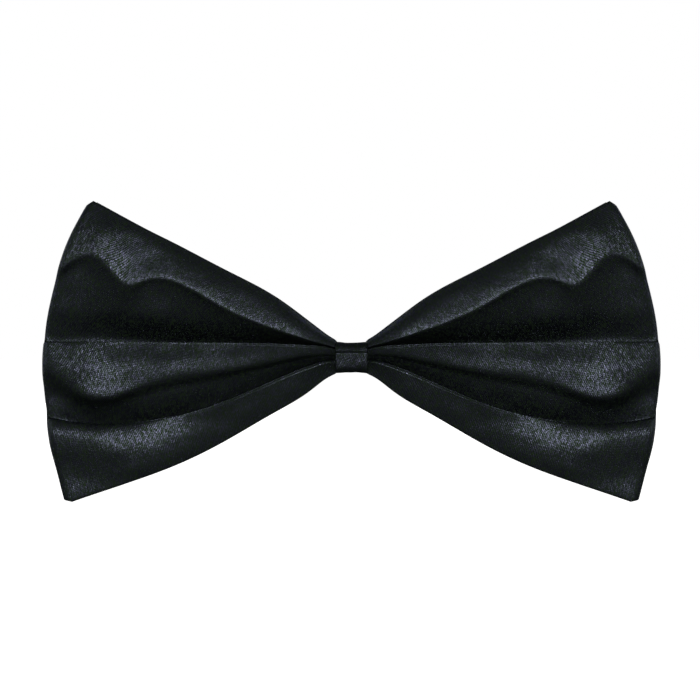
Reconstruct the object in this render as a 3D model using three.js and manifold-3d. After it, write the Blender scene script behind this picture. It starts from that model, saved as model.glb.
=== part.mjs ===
// Pre-tied satin bow tie on a two-jaw collar clip, in millimetres.
// +X is right as seen from the front, +Z is up, -Y faces the viewer and +Y faces the wearer.
// The origin is the middle of the collar seat: the plane the collar leaf lies on, centred behind the knot.
import * as THREE from 'three';
import { mergeVertices } from 'three/addons/utils/BufferGeometryUtils.js';
import Module from 'manifold-3d';

const wasm = await Module();
wasm.setup();

// Outline of the bow, seen from the front.
const BOW_WIDTH = 130;
const TOP_CORNER_Z = 33;
const BOTTOM_CORNER_Z = -30.4;
const TOP_CORNER_INSET = 9.6;
const BOTTOM_CORNER_INSET = 4.5;
const BELLY_Z = -1.7;
const SHOULDER_X = 12.9;
const TOP_SHOULDER_Z = 10.9;
const BOTTOM_SHOULDER_Z = -9.8;
const BOTTOM_EDGE_BULGE = 2.4;

// Plies of the bow tube: satin, interlining, satin.
const SATIN = 0.3;
const INTERLINING = 0.4;
const PLY_GAP = 0.15;
const SEAM_MARGIN = 0.5;
const END_JOIN_GAP = 0.6;

// Depth of the loop on each side of its waist.
const FRONT_PUFF = 6.8;
const FRONT_END_PUFF = 4.2;
const BACK_PUFF = 3.6;
const BACK_END_PUFF = 2.4;
const END_FOLD_REACH = 2.2;
const EDGE_CLOSING = 0.5;
const FRONT_SWELL_START = 0.08;
const SWELL_SPAN = 0.42;
const END_TAPER_START = 0.72;

// Waist and knot.
const WAIST_HEIGHT = 3.7;
const WAIST_HOLLOW = 0.4;
const THREAD_DIAMETER = 0.4;
const THREAD_TURNS = 4;
const THREAD_PITCH = 0.56;
const KNOT_WIDTH = 6.8;
const KNOT_SATIN = 0.35;
const KNOT_INTERLINING = 0.3;
const KNOT_CORNER_RADIUS = 0.9;
const LAP_GAP = 0.12;
const LAP_END_Z = 1;
const LAP_START_Z = -1.2;
const STITCH_DIAMETER = 0.34;
const STITCH_LENGTH = 1.6;
const STITCH_COUNT = 4;

// Collar clip.
const PLATE_HEIGHT = 9.2;
const PLATE_THICKNESS = 0.8;
const PLATE_END_RADIUS = 2;
const NECK_MARGIN = 0.75;
const NECK_SLACK = 2.6;
const NECK_TAPER = 2.6;
const SEAT_RISE = 0.2;
const SEAT_HEIGHT = 6;
const SEAT_MARGIN = 0.35;
const PIN_RISE = 2.2;
const PIN_DIAMETER = 1.2;
const PIN_HEAD_LIP = 0.35;
const PIN_HEAD_LENGTH = 0.4;
const PIN_HEAD_CHAMFER = 0.1;
const RUNNING_CLEARANCE = 0.07;
const SIDE_CLEARANCE = 0.3;
const EAR_THICKNESS = 0.7;
const EAR_WALL = 0.7;
const JAW_SHEET = 0.7;
const CHEEK_THICKNESS = 0.6;
const TAB_CLEARANCE = 1.5;
const TAB_REACH = 6.6;
const TAB_RISE = 5.6;
const TAB_CURL = 1.6;
const TAB_CURL_DROP = 0.25;
const SHELF_REACH = 2.2;
const SHELF_DROP = 0.15;
const ARM_REACH = 12;
const ARM_RISE = 2.95;
const ARM_STEP_REACH = 2.7;
const ARM_BEND = 0.8;
const ARM_BEND_RISE = 0.45;
const TIP_BEND_REACH = 3.2;
const TIP_BEND = 1.3;
const TIP_MARGIN = 1.5;
const TOOTH_COUNT = 5;
const TOOTH_DEPTH = 0.7;
const TIP_GAP = 0.3;
const WIRE_DIAMETER = 0.5;
const COIL_CLEARANCE = 0.2;
const SPRING_TURNS = 4;
const SPRING_PITCH = 0.62;
const SPRING_LEG = 5;
const SPRING_LIFT_ANGLE = 0.2;

// Worked out from the sizes above.
const tubeThickness = 2 * SATIN + INTERLINING + 2 * PLY_GAP;
const plateBackY = -SEAT_RISE;
const plateFrontY = plateBackY - PLATE_THICKNESS;
const windingThickness = 2 * PLY_GAP + THREAD_DIAMETER;
const waistBackY = plateFrontY - windingThickness;
const waistFrontY = waistBackY - 2 * tubeThickness - WAIST_HOLLOW;
const waistMidY = (waistBackY + waistFrontY) / 2;
const waistHalfLength = KNOT_WIDTH / 2 + PLY_GAP;
const waistHalfSpacing = (tubeThickness + WAIST_HOLLOW) / 2;
const knotInnerHalfHeight = WAIST_HEIGHT / 2 + windingThickness;
const knotInnerFrontY = waistFrontY - windingThickness;
const knotInnerBackY = plateBackY + PLY_GAP;
const earInnerZ = PLATE_HEIGHT / 2 - EAR_THICKNESS;
const jawHalfHeight = earInnerZ - SIDE_CLEARANCE;
const pinX = KNOT_WIDTH / 2 + TAB_CLEARANCE + TAB_REACH;
const pinY = plateBackY + PIN_RISE;
const tipX = pinX + ARM_REACH;
const plateHalfLength = tipX + TIP_MARGIN;
const plateFreeX = plateHalfLength + SIDE_CLEARANCE;
const neckHalfLength = KNOT_WIDTH / 2 + NECK_SLACK;
const armLevelStart = pinX + ARM_STEP_REACH;
const armLevelEnd = tipX - TIP_BEND_REACH;
const holeRadius = PIN_DIAMETER / 2 + RUNNING_CLEARANCE;
const earRadius = PIN_DIAMETER / 2 + EAR_WALL;
const coilRadius = PIN_DIAMETER / 2 + COIL_CLEARANCE + WIRE_DIAMETER / 2;

const satinMaterial = () => new THREE.MeshStandardMaterial({ color: 0x0b0c12, roughness: 0.38, metalness: 0 });
const interliningMaterial = () => new THREE.MeshStandardMaterial({ color: 0x2a2a2c, roughness: 0.9, metalness: 0 });
const threadMaterial = () => new THREE.MeshStandardMaterial({ color: 0x0a0a0c, roughness: 0.6, metalness: 0 });
const steelMaterial = () => new THREE.MeshStandardMaterial({ color: 0xb9bcc2, roughness: 0.28, metalness: 1 });

const group = new THREE.Group();

function addPiece(name, geometry, material, parent = group) {
  const mesh = new THREE.Mesh(geometry, material);
  mesh.name = name;
  parent.add(mesh);
  return mesh;
}

function toSolid(geometry) {
  const bare = geometry.clone();
  bare.deleteAttribute('normal');
  bare.deleteAttribute('uv');
  const merged = mergeVertices(bare, 1e-4);
  const vertProperties = new Float32Array(merged.attributes.position.array);
  const triVerts = new Uint32Array(merged.index.array);
  return new wasm.Manifold(new wasm.Mesh({ numProp: 3, vertProperties, triVerts }));
}

function toGeometry(solid) {
  const mesh = solid.getMesh();
  const geometry = new THREE.BufferGeometry();
  geometry.setAttribute('position', new THREE.BufferAttribute(mesh.vertProperties, 3));
  geometry.setIndex(new THREE.BufferAttribute(mesh.triVerts, 1));
  geometry.computeVertexNormals();
  return geometry;
}

const ease = (t) => {
  const c = THREE.MathUtils.clamp(t, 0, 1);
  return c * c * (3 - 2 * c);
};

// Height of the top and bottom edges of a wing at a distance x from the middle.
function edgeHeight(x, shoulderZ, cornerX, cornerZ, bulge) {
  const waist = Math.sign(shoulderZ) * WAIST_HEIGHT / 2;
  const t = (x - SHOULDER_X) / (cornerX - SHOULDER_X);
  const straight = shoulderZ + (cornerZ - shoulderZ) * t;
  const bowed = straight - bulge * 4 * Math.max(t, 0) * (1 - t);
  const f = THREE.MathUtils.clamp((x - waistHalfLength) / (SHOULDER_X - waistHalfLength), 0, 1);
  return waist + (bowed - waist) * (1 - (1 - f) ** 2);
}

// Furthest reach of the wing on the line v, where v runs from -1 on the bottom edge to 1 on the top edge.
function wingReach(v) {
  const bellyV = 2 * (BELLY_Z - BOTTOM_CORNER_Z) / (TOP_CORNER_Z - BOTTOM_CORNER_Z) - 1;
  const inset = v > bellyV ? TOP_CORNER_INSET : BOTTOM_CORNER_INSET;
  const span = v > bellyV ? 1 - bellyV : 1 + bellyV;
  return BOW_WIDTH / 2 - inset * ((v - bellyV) / span) ** 2;
}

// A point of the loop's middle surface on the right wing: s runs from 0 at the waist to 1 at the fold.
// The margin keeps a hidden ply that far inside the edges of the strip.
function panelPoint(s, acrossStrip, front, margin) {
  const topX = wingReach(1);
  const bottomX = wingReach(-1);
  const along = (end) => waistHalfLength + s * (end - waistHalfLength);
  const topZ = edgeHeight(along(topX), TOP_SHOULDER_Z, topX, TOP_CORNER_Z, 0);
  const bottomZ = edgeHeight(along(bottomX), BOTTOM_SHOULDER_Z, bottomX, BOTTOM_CORNER_Z, BOTTOM_EDGE_BULGE);
  const v = acrossStrip * (1 - 2 * margin / (topZ - bottomZ));
  const z = bottomZ + (topZ - bottomZ) * (v + 1) / 2;
  const crown = 1 - EDGE_CLOSING * v * v;
  const end = front ? FRONT_END_PUFF : BACK_END_PUFF;
  const puff = front ? FRONT_PUFF : BACK_PUFF;
  const start = front ? FRONT_SWELL_START : plateFreeX / (BOW_WIDTH / 2);
  const taper = (puff - end) * ease((s - END_TAPER_START) / (1 - END_TAPER_START));
  const swell = puff * ease((s - start) / SWELL_SPAN) - taper;
  const away = waistHalfSpacing + swell * crown;
  return new THREE.Vector3(along(wingReach(v) - END_FOLD_REACH), waistMidY + (front ? -away : away), z);
}

const PANEL_STEPS = 12;
const FOLD_STEPS = 5;
const ACROSS_STEPS = 8;

// Stations of the loop's middle surface, from the right end at the centre back to the left end.
function loopStations(v, margin) {
  const right = [panelPoint(0, v, false, margin).setX(END_JOIN_GAP / 2)];
  for (let i = 0; i <= PANEL_STEPS; i++) {
    right.push(panelPoint(i / PANEL_STEPS, v, false, margin));
  }
  const back = right[right.length - 1];
  const front = panelPoint(1, v, true, margin);
  for (let i = 1; i < FOLD_STEPS; i++) {
    const turn = Math.PI * i / FOLD_STEPS;
    const y = (back.y + front.y) / 2 + (back.y - front.y) / 2 * Math.cos(turn);
    right.push(new THREE.Vector3(back.x + END_FOLD_REACH * Math.sin(turn), y, back.z));
  }
  for (let i = PANEL_STEPS; i >= 0; i--) {
    right.push(panelPoint(i / PANEL_STEPS, v, true, margin));
  }
  right.push(panelPoint(0, v, true, margin).setX(0));
  const left = right.slice(0, -1).reverse().map((p) => new THREE.Vector3(-p.x, p.y, p.z));
  return right.concat(left);
}

// Rings around the loop's strip: a ply at the given offsets from the middle surface, as tall as the strip less a margin.
function stripRings(outerOffset, innerOffset, margin) {
  const columns = [];
  for (let j = 0; j <= ACROSS_STEPS; j++) {
    columns.push(loopStations(2 * j / ACROSS_STEPS - 1, margin));
  }
  const count = columns[0].length;
  const rings = [];
  for (let i = 0; i < count; i++) {
    const points = columns.map((c) => c[i]);
    const normals = columns.map((c, j) => {
      const along = c[Math.min(i + 1, count - 1)].clone().sub(c[Math.max(i - 1, 0)]);
      const across = columns[Math.min(j + 1, ACROSS_STEPS)][i].clone().sub(columns[Math.max(j - 1, 0)][i]);
      return along.cross(across).normalize();
    });
    const outer = points.map((p, j) => p.clone().addScaledVector(normals[j], outerOffset));
    const inner = points.map((p, j) => p.clone().addScaledVector(normals[j], innerOffset));
    rings.push(outer.concat(inner.reverse()));
  }
  return rings;
}

// Side faces between rings of equal point counts, appended to a triangle list.
function joinRings(positions, rings, flip) {
  const n = rings[0].length;
  for (let i = 0; i + 1 < rings.length; i++) {
    for (let j = 0; j < n; j++) {
      const k = (j + 1) % n;
      const quad = [rings[i][j], rings[i + 1][j], rings[i + 1][k], rings[i][k]];
      if (flip) quad.reverse();
      positions.push(quad[0], quad[1], quad[2], quad[0], quad[2], quad[3]);
    }
  }
}

function fromPoints(points) {
  const geometry = new THREE.BufferGeometry().setFromPoints(points);
  geometry.computeVertexNormals();
  return geometry;
}

// Closes one end of a strip whose rings run along the outer face and back along the inner face.
function capStrip(positions, ring, flip) {
  const n = ring.length;
  for (let j = 0; j < n / 2 - 1; j++) {
    const quad = [ring[j], ring[j + 1], ring[n - 2 - j], ring[n - 1 - j]];
    if (flip) quad.reverse();
    positions.push(quad[0], quad[1], quad[2], quad[0], quad[2], quad[3]);
  }
}

// Closes one end of a tube with the flat rim between its outer ring and its channel ring.
function capRim(positions, outer, channel, flip) {
  const n = outer.length;
  for (let j = 0; j < n; j++) {
    const k = (j + 1) % n;
    const quad = [outer[j], outer[k], channel[k], channel[j]];
    if (flip) quad.reverse();
    positions.push(quad[0], quad[1], quad[2], quad[0], quad[2], quad[3]);
  }
}

function bowSatin() {
  const skin = tubeThickness / 2;
  const channel = skin - SATIN;
  const outerRings = stripRings(skin, -skin, 0);
  const channelRings = stripRings(channel, -channel, SEAM_MARGIN);
  const last = outerRings.length - 1;
  const points = [];
  joinRings(points, outerRings, false);
  joinRings(points, channelRings, true);
  capRim(points, outerRings[0], channelRings[0], false);
  capRim(points, outerRings[last], channelRings[last], true);
  return fromPoints(points);
}

function bowInterlining() {
  const half = INTERLINING / 2;
  const rings = stripRings(half, -half, SEAM_MARGIN + PLY_GAP);
  const points = [];
  joinRings(points, rings, false);
  capStrip(points, rings[0], false);
  capStrip(points, rings[rings.length - 1], true);
  return fromPoints(points);
}

// A quarter circle of points round a corner, from one angle to the next.
function cornerPoints(y, z, radius, startAngle, steps) {
  const points = [];
  for (let i = 0; i <= steps; i++) {
    const a = startAngle + Math.PI / 2 * i / steps;
    points.push(new THREE.Vector2(y + radius * Math.cos(a), z + radius * Math.sin(a)));
  }
  return points;
}

// Corner centres of a rounded box in the Y-Z plane, from back top round by front to back bottom.
function boxCorners(frontY, backY, halfHeight, radius) {
  return [
    [backY - radius, halfHeight - radius],
    [frontY + radius, halfHeight - radius],
    [frontY + radius, -halfHeight + radius],
    [backY - radius, -halfHeight + radius],
  ];
}

function gatheringThread() {
  const r = THREAD_DIAMETER / 2;
  const away = PLY_GAP + r;
  const corners = boxCorners(waistFrontY - away, waistBackY + away, WAIST_HEIGHT / 2 + away, away);
  const around = corners.flatMap(([y, z], i) => cornerPoints(y, z, away, i * Math.PI / 2, 3));
  const points = [];
  const count = THREAD_TURNS * around.length;
  for (let i = 0; i <= count; i++) {
    const p = around[i % around.length];
    const x = (i / around.length - THREAD_TURNS / 2) * THREAD_PITCH;
    points.push(new THREE.Vector3(x, p.x, p.y));
  }
  const path = new THREE.CatmullRomCurve3(points, false, 'centripetal');
  return sweptRound(path, r, 2 * count);
}

function sweptRound(path, radius, steps) {
  const section = new THREE.Shape();
  for (let i = 0; i < WIRE_SIDES; i++) {
    const a = 2 * Math.PI * i / WIRE_SIDES;
    const x = radius * Math.cos(a);
    const y = radius * Math.sin(a);
    if (i === 0) section.moveTo(x, y);
    else section.lineTo(x, y);
  }
  return new THREE.ExtrudeGeometry(section, { steps, extrudePath: path, bevelEnabled: false });
}

const WIRE_SIDES = 6;

// The outline of a bent strip: its centre line moved half a thickness to each side.
function stripShape(line, thickness) {
  const side = (sign) => line.map((p, i) => {
    const before = line[Math.max(i - 1, 0)];
    const after = line[Math.min(i + 1, line.length - 1)];
    const d1 = p.clone().sub(before);
    const d2 = after.clone().sub(p);
    const first = (i === 0 ? d2 : d1).clone().normalize();
    const second = (i === line.length - 1 ? d1 : d2).clone().normalize();
    const normal = new THREE.Vector2(-(first.y + second.y), first.x + second.x).normalize();
    const miter = 1 / Math.max(normal.dot(new THREE.Vector2(-first.y, first.x)), 0.5);
    return p.clone().addScaledVector(normal, sign * miter * thickness / 2);
  });
  return new THREE.Shape(side(1).concat(side(-1).reverse()));
}

// A shape drawn in the Y-Z plane, made solid along X and centred on the middle.
function acrossMiddle(shape, width) {
  const geometry = new THREE.ExtrudeGeometry(shape, { depth: width, bevelEnabled: false });
  geometry.applyMatrix4(new THREE.Matrix4().set(
    0, 0, 1, -width / 2,
    1, 0, 0, 0,
    0, 1, 0, 0,
    0, 0, 0, 1,
  ));
  return geometry;
}

function knotInterlining() {
  const half = KNOT_INTERLINING / 2;
  const frontY = knotInnerFrontY - half;
  const backY = knotInnerBackY + half;
  const radius = KNOT_CORNER_RADIUS + half;
  const corners = boxCorners(frontY, backY, knotInnerHalfHeight + half, radius);
  const bends = corners.flatMap(([y, z], i) => cornerPoints(y, z, radius, i * Math.PI / 2, 5));
  const start = new THREE.Vector2(backY, LAP_START_Z + END_JOIN_GAP);
  const end = new THREE.Vector2(backY, LAP_START_Z);
  return acrossMiddle(stripShape([start, ...bends, end], KNOT_INTERLINING), KNOT_WIDTH - 2 * SEAM_MARGIN);
}

// The wrap starts on the back, goes once round and laps over its own start.
function knotWrap() {
  const half = KNOT_SATIN / 2;
  const out = KNOT_INTERLINING + PLY_GAP + half;
  const frontY = knotInnerFrontY - out;
  const backY = knotInnerBackY + out;
  const halfHeight = knotInnerHalfHeight + out;
  const radius = KNOT_CORNER_RADIUS + out;
  const lift = KNOT_SATIN + LAP_GAP;
  const corners = boxCorners(frontY, backY, halfHeight, radius);
  const bends = corners.slice(0, 3).flatMap(([y, z], i) => cornerPoints(y, z, radius, i * Math.PI / 2, 5));
  const [lastY, lastZ] = corners[3];
  const lastBend = cornerPoints(lastY, lastZ + lift, radius + lift, 1.5 * Math.PI, 5);
  const start = new THREE.Vector2(backY, LAP_START_Z);
  const end = new THREE.Vector2(backY + lift, LAP_END_Z);
  return acrossMiddle(stripShape([start, ...bends, ...lastBend, end], KNOT_SATIN), KNOT_WIDTH);
}

function closingStitches() {
  const back = knotInnerBackY + KNOT_INTERLINING + PLY_GAP + 2 * KNOT_SATIN + LAP_GAP;
  for (let i = 0; i < STITCH_COUNT; i++) {
    const radius = STITCH_DIAMETER / 2;
    const stitch = new THREE.CapsuleGeometry(radius, STITCH_LENGTH - STITCH_DIAMETER, 3, 8);
    stitch.rotateX(Math.PI / 2);
    const mesh = addPiece(`closing_stitch_${i + 1}`, stitch, threadMaterial());
    const x = (i + 0.5) / STITCH_COUNT - 0.5;
    mesh.position.set(x * (KNOT_WIDTH - 2 * SEAM_MARGIN), back + PLY_GAP + radius, LAP_END_Z);
  }
}

// A shape drawn in the X-Y plane, made solid from one height to another.
function upright(shape, fromZ, toZ) {
  const geometry = new THREE.ExtrudeGeometry(shape, { depth: toZ - fromZ, bevelEnabled: false, curveSegments: 8 });
  geometry.translate(0, 0, fromZ);
  return geometry;
}

// An ear or cheek round the pin hole, reaching from the pin to a footing at footY.
function lugShape(footY, leftX, rightX) {
  const shape = new THREE.Shape();
  const up = footY > pinY;
  shape.moveTo(leftX, footY);
  shape.lineTo(pinX - earRadius, pinY);
  shape.absarc(pinX, pinY, earRadius, Math.PI, 0, !up);
  shape.lineTo(rightX, footY);
  shape.closePath();
  return shape;
}

function pinHole(halfLength) {
  const hole = new THREE.CylinderGeometry(holeRadius, holeRadius, 2 * halfLength, 24);
  hole.rotateX(Math.PI / 2);
  hole.translate(pinX, pinY, 0);
  return toSolid(hole);
}

function mirrored(solid) {
  return solid.mirror([1, 0, 0]);
}

// The flat outline of the plate, drawn in the X-Z plane.
function plateOutline() {
  const end = plateHalfLength;
  const high = PLATE_HEIGHT / 2;
  const neck = knotInnerHalfHeight - NECK_MARGIN;
  const wide = neckHalfLength + NECK_TAPER;
  const r = PLATE_END_RADIUS;
  const shape = new THREE.Shape();
  shape.moveTo(-neckHalfLength, -neck);
  shape.lineTo(neckHalfLength, -neck);
  shape.lineTo(wide, -high);
  shape.absarc(end - r, -high + r, r, -Math.PI / 2, 0, false);
  shape.absarc(end - r, high - r, r, 0, Math.PI / 2, false);
  shape.lineTo(wide, high);
  shape.lineTo(neckHalfLength, neck);
  shape.lineTo(-neckHalfLength, neck);
  shape.lineTo(-wide, high);
  shape.absarc(-end + r, high - r, r, Math.PI / 2, Math.PI, false);
  shape.absarc(-end + r, -high + r, r, Math.PI, 1.5 * Math.PI, false);
  shape.lineTo(-wide, -high);
  shape.closePath();
  return shape;
}

function clipPlate() {
  const sheet = new THREE.ExtrudeGeometry(plateOutline(), {
    depth: PLATE_THICKNESS, bevelEnabled: false, curveSegments: 5,
  });
  sheet.rotateX(Math.PI / 2);
  sheet.translate(0, plateBackY, 0);
  let plate = toSolid(sheet);
  const rooted = plateBackY - PLATE_THICKNESS / 2;
  const lug = lugShape(rooted, pinX - earRadius, pinX + earRadius);
  const lower = toSolid(upright(lug, -PLATE_HEIGHT / 2, -earInnerZ));
  const upper = toSolid(upright(lug, earInnerZ, PLATE_HEIGHT / 2));
  const seatLength = armLevelEnd - armLevelStart - 2 * SEAT_MARGIN;
  const seat = new THREE.BoxGeometry(seatLength, 2 * SEAT_RISE, SEAT_HEIGHT);
  seat.translate((armLevelStart + armLevelEnd) / 2, plateBackY, 0);
  const side = lower.add(upper).subtract(pinHole(PLATE_HEIGHT)).add(toSolid(seat));
  plate = plate.add(side).add(mirrored(side));
  return toGeometry(plate);
}

function clipPin() {
  const radius = PIN_DIAMETER / 2;
  const head = radius + PIN_HEAD_LIP;
  const under = PLATE_HEIGHT / 2 + RUNNING_CLEARANCE;
  const end = under + PIN_HEAD_LENGTH;
  const chamfer = PIN_HEAD_LENGTH - PIN_HEAD_CHAMFER;
  const profile = [
    [0, -end], [radius, -end], [head, -end + chamfer], [head, -under], [radius, -under],
    [radius, under], [head, under], [head, end - chamfer], [radius, end], [0, end],
  ];
  const pin = new THREE.LatheGeometry(profile.map(([x, y]) => new THREE.Vector2(x, y)), 16);
  pin.rotateX(Math.PI / 2);
  return pin;
}

// Centre line of the jaw's sheet from the finger tab to the toothed tip.
function jawLine() {
  const shelf = PIN_RISE + coilRadius + WIRE_DIAMETER / 2 + SIDE_CLEARANCE + JAW_SHEET / 2;
  const steps = [
    [pinX - TAB_REACH, TAB_RISE],
    [pinX - TAB_REACH + TAB_CURL, TAB_RISE - TAB_CURL_DROP],
    [pinX - SHELF_REACH, shelf + 2 * SHELF_DROP],
    [pinX + TIP_GAP, shelf + SHELF_DROP],
    [armLevelStart - ARM_BEND, ARM_RISE + ARM_BEND_RISE],
    [armLevelStart, ARM_RISE],
    [armLevelEnd, ARM_RISE],
    [armLevelEnd + TIP_BEND, ARM_RISE - ARM_BEND_RISE],
    [tipX, TIP_GAP],
  ];
  return steps.map(([x, rise]) => new THREE.Vector2(x, plateBackY + rise));
}

function jawTeeth() {
  const pitch = 2 * jawHalfHeight / TOOTH_COUNT;
  let notches = null;
  for (let i = 0; i <= TOOTH_COUNT; i++) {
    const z = -jawHalfHeight + i * pitch;
    const notch = new THREE.Shape();
    notch.moveTo(z - pitch / 2, -TOOTH_DEPTH);
    notch.lineTo(z + pitch / 2, -TOOTH_DEPTH);
    notch.lineTo(z, TOOTH_DEPTH);
    notch.closePath();
    const wedge = new THREE.ExtrudeGeometry(notch, { depth: 4 * JAW_SHEET, bevelEnabled: false });
    wedge.applyMatrix4(new THREE.Matrix4().set(
      0, 0, 1, tipX - 2 * JAW_SHEET,
      0, 1, 0, plateBackY + TIP_GAP,
      -1, 0, 0, 0,
      0, 0, 0, 1,
    ));
    notches = notches ? notches.add(toSolid(wedge)) : toSolid(wedge);
  }
  return notches;
}

function clipJaw() {
  const line = jawLine();
  const sheet = toSolid(upright(stripShape(line, JAW_SHEET), -jawHalfHeight, jawHalfHeight));
  const footY = line[3].y;
  const lug = lugShape(footY, pinX - earRadius, pinX + earRadius * 0.6);
  const cheekZ = jawHalfHeight - CHEEK_THICKNESS;
  const lower = toSolid(upright(lug, -jawHalfHeight, -cheekZ));
  const upper = toSolid(upright(lug, cheekZ, jawHalfHeight));
  const underside = new THREE.BoxGeometry(4 * plateHalfLength, 2 * PIN_RISE, 2 * PLATE_HEIGHT);
  underside.translate(0, plateBackY + TIP_GAP - PIN_RISE, 0);
  const jaw = sheet.add(lower).add(upper).subtract(pinHole(PLATE_HEIGHT));
  return toGeometry(jaw.subtract(toSolid(underside)).subtract(jawTeeth()));
}

// Torsion spring: one leg lies on the plate, the coil goes round the pin and the other leg lifts the finger tab.
function clipSpring() {
  const turnSteps = 12;
  const turns = SPRING_TURNS - 0.5;
  const startAngle = -Math.PI / 2;
  const endAngle = startAngle + 2 * Math.PI * turns - SPRING_LIFT_ANGLE;
  const halfCoil = SPRING_PITCH * turns / 2;
  const restY = plateBackY + WIRE_DIAMETER / 2 + PLY_GAP;
  const points = [new THREE.Vector3(pinX - SPRING_LEG, restY, -halfCoil)];
  points.push(new THREE.Vector3(pinX - SPRING_LEG / 2, restY + PLY_GAP, -halfCoil));
  const count = Math.round(turnSteps * turns);
  for (let i = 0; i <= count; i++) {
    const a = startAngle + (endAngle - startAngle) * i / count;
    const z = -halfCoil + 2 * halfCoil * i / count;
    points.push(new THREE.Vector3(pinX + coilRadius * Math.cos(a), pinY + coilRadius * Math.sin(a), z));
  }
  const last = points[points.length - 1];
  const heading = new THREE.Vector3(-Math.cos(SPRING_LIFT_ANGLE), Math.sin(SPRING_LIFT_ANGLE), 0);
  points.push(last.clone().addScaledVector(heading, SPRING_LEG / 2));
  points.push(last.clone().addScaledVector(heading, SPRING_LEG));
  const path = new THREE.CatmullRomCurve3(points, false, 'centripetal');
  return sweptRound(path, WIRE_DIAMETER / 2, count + turnSteps);
}

function mirroredGeometry(geometry) {
  return toGeometry(mirrored(toSolid(geometry)));
}

function addPair(name, geometry, material) {
  addPiece(`${name}_right`, geometry, material());
  addPiece(`${name}_left`, mirroredGeometry(geometry), material());
}

addPiece('bow_satin', bowSatin(), satinMaterial());
addPiece('bow_interlining', bowInterlining(), interliningMaterial());
addPiece('gathering_thread', gatheringThread(), threadMaterial());
addPiece('knot_interlining', knotInterlining(), interliningMaterial());
addPiece('knot_wrap', knotWrap(), satinMaterial());
closingStitches();

addPiece('clip_plate', clipPlate(), steelMaterial());
addPair('clip_jaw', clipJaw(), steelMaterial);
addPair('clip_pin', clipPin().translate(pinX, pinY, 0), steelMaterial);
addPair('clip_spring', clipSpring(), steelMaterial);

export default group;
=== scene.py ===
"""Pre-tied satin bow tie on a two-jaw collar clip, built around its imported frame.

+X is right as seen from the front, +Z is up, -Y faces the viewer and +Y faces the wearer.
Lengths in the tables are millimetres; meshes are metres.
"""
import math

import bmesh
import bpy
import numpy as np
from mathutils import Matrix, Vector


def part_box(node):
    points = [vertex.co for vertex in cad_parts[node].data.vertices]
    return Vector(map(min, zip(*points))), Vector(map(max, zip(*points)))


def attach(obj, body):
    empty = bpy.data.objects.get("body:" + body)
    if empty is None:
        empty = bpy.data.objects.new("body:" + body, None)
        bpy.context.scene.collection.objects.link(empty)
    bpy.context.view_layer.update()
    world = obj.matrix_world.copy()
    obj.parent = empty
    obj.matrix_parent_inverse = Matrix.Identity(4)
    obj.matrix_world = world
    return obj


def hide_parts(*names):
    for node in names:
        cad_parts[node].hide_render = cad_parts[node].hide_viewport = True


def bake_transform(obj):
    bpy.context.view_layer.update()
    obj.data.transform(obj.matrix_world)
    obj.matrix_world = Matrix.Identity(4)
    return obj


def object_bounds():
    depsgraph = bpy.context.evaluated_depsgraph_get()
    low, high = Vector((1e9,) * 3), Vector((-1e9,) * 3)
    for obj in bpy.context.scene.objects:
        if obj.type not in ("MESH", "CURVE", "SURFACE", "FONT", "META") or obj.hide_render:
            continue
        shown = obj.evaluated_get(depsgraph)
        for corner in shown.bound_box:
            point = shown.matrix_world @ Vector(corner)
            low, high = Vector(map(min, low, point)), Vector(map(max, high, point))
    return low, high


bl_info = {
    "name": "Satin Bow Tie",
    "version": (1, 0, 0),
    "blender": (4, 5, 0),
    "location": "3D View > Sidebar > Bow Tie",
    "description": "Builds a gathered satin bow with its wrapped knot, collar clip and studio stage",
    "category": "Add Mesh",
}

MM = 0.001
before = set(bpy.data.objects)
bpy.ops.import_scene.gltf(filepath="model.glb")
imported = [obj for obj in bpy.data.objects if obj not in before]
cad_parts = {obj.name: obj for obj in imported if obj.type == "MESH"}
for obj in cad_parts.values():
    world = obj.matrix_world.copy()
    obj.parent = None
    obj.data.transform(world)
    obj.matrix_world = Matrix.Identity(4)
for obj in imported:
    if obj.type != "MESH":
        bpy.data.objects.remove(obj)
CAD_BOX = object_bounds()
KNOT_LOW, KNOT_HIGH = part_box("knot_wrap")
BOW_LOW, BOW_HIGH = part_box("bow_satin")
THREAD_LOW, THREAD_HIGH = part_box("gathering_thread")
WAIST_Y = (THREAD_LOW.y + THREAD_HIGH.y) / 2
LOWEST_CLOTH = -31 * MM  # just under the lower corners

# Places along a wing, as shares of the way from the waist to the end fold. The first two are under
# the knot, where heights and depths are these shares of the third one's.
COLUMNS = (0, 0.03, 0.06, 0.12, 0.26, 0.46, 0.7, 0.78, 0.87, 1)
HEIGHT_SHARES = (0.6, 0.8)
DEPTH_SHARES = (0.42, 0.72)

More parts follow.
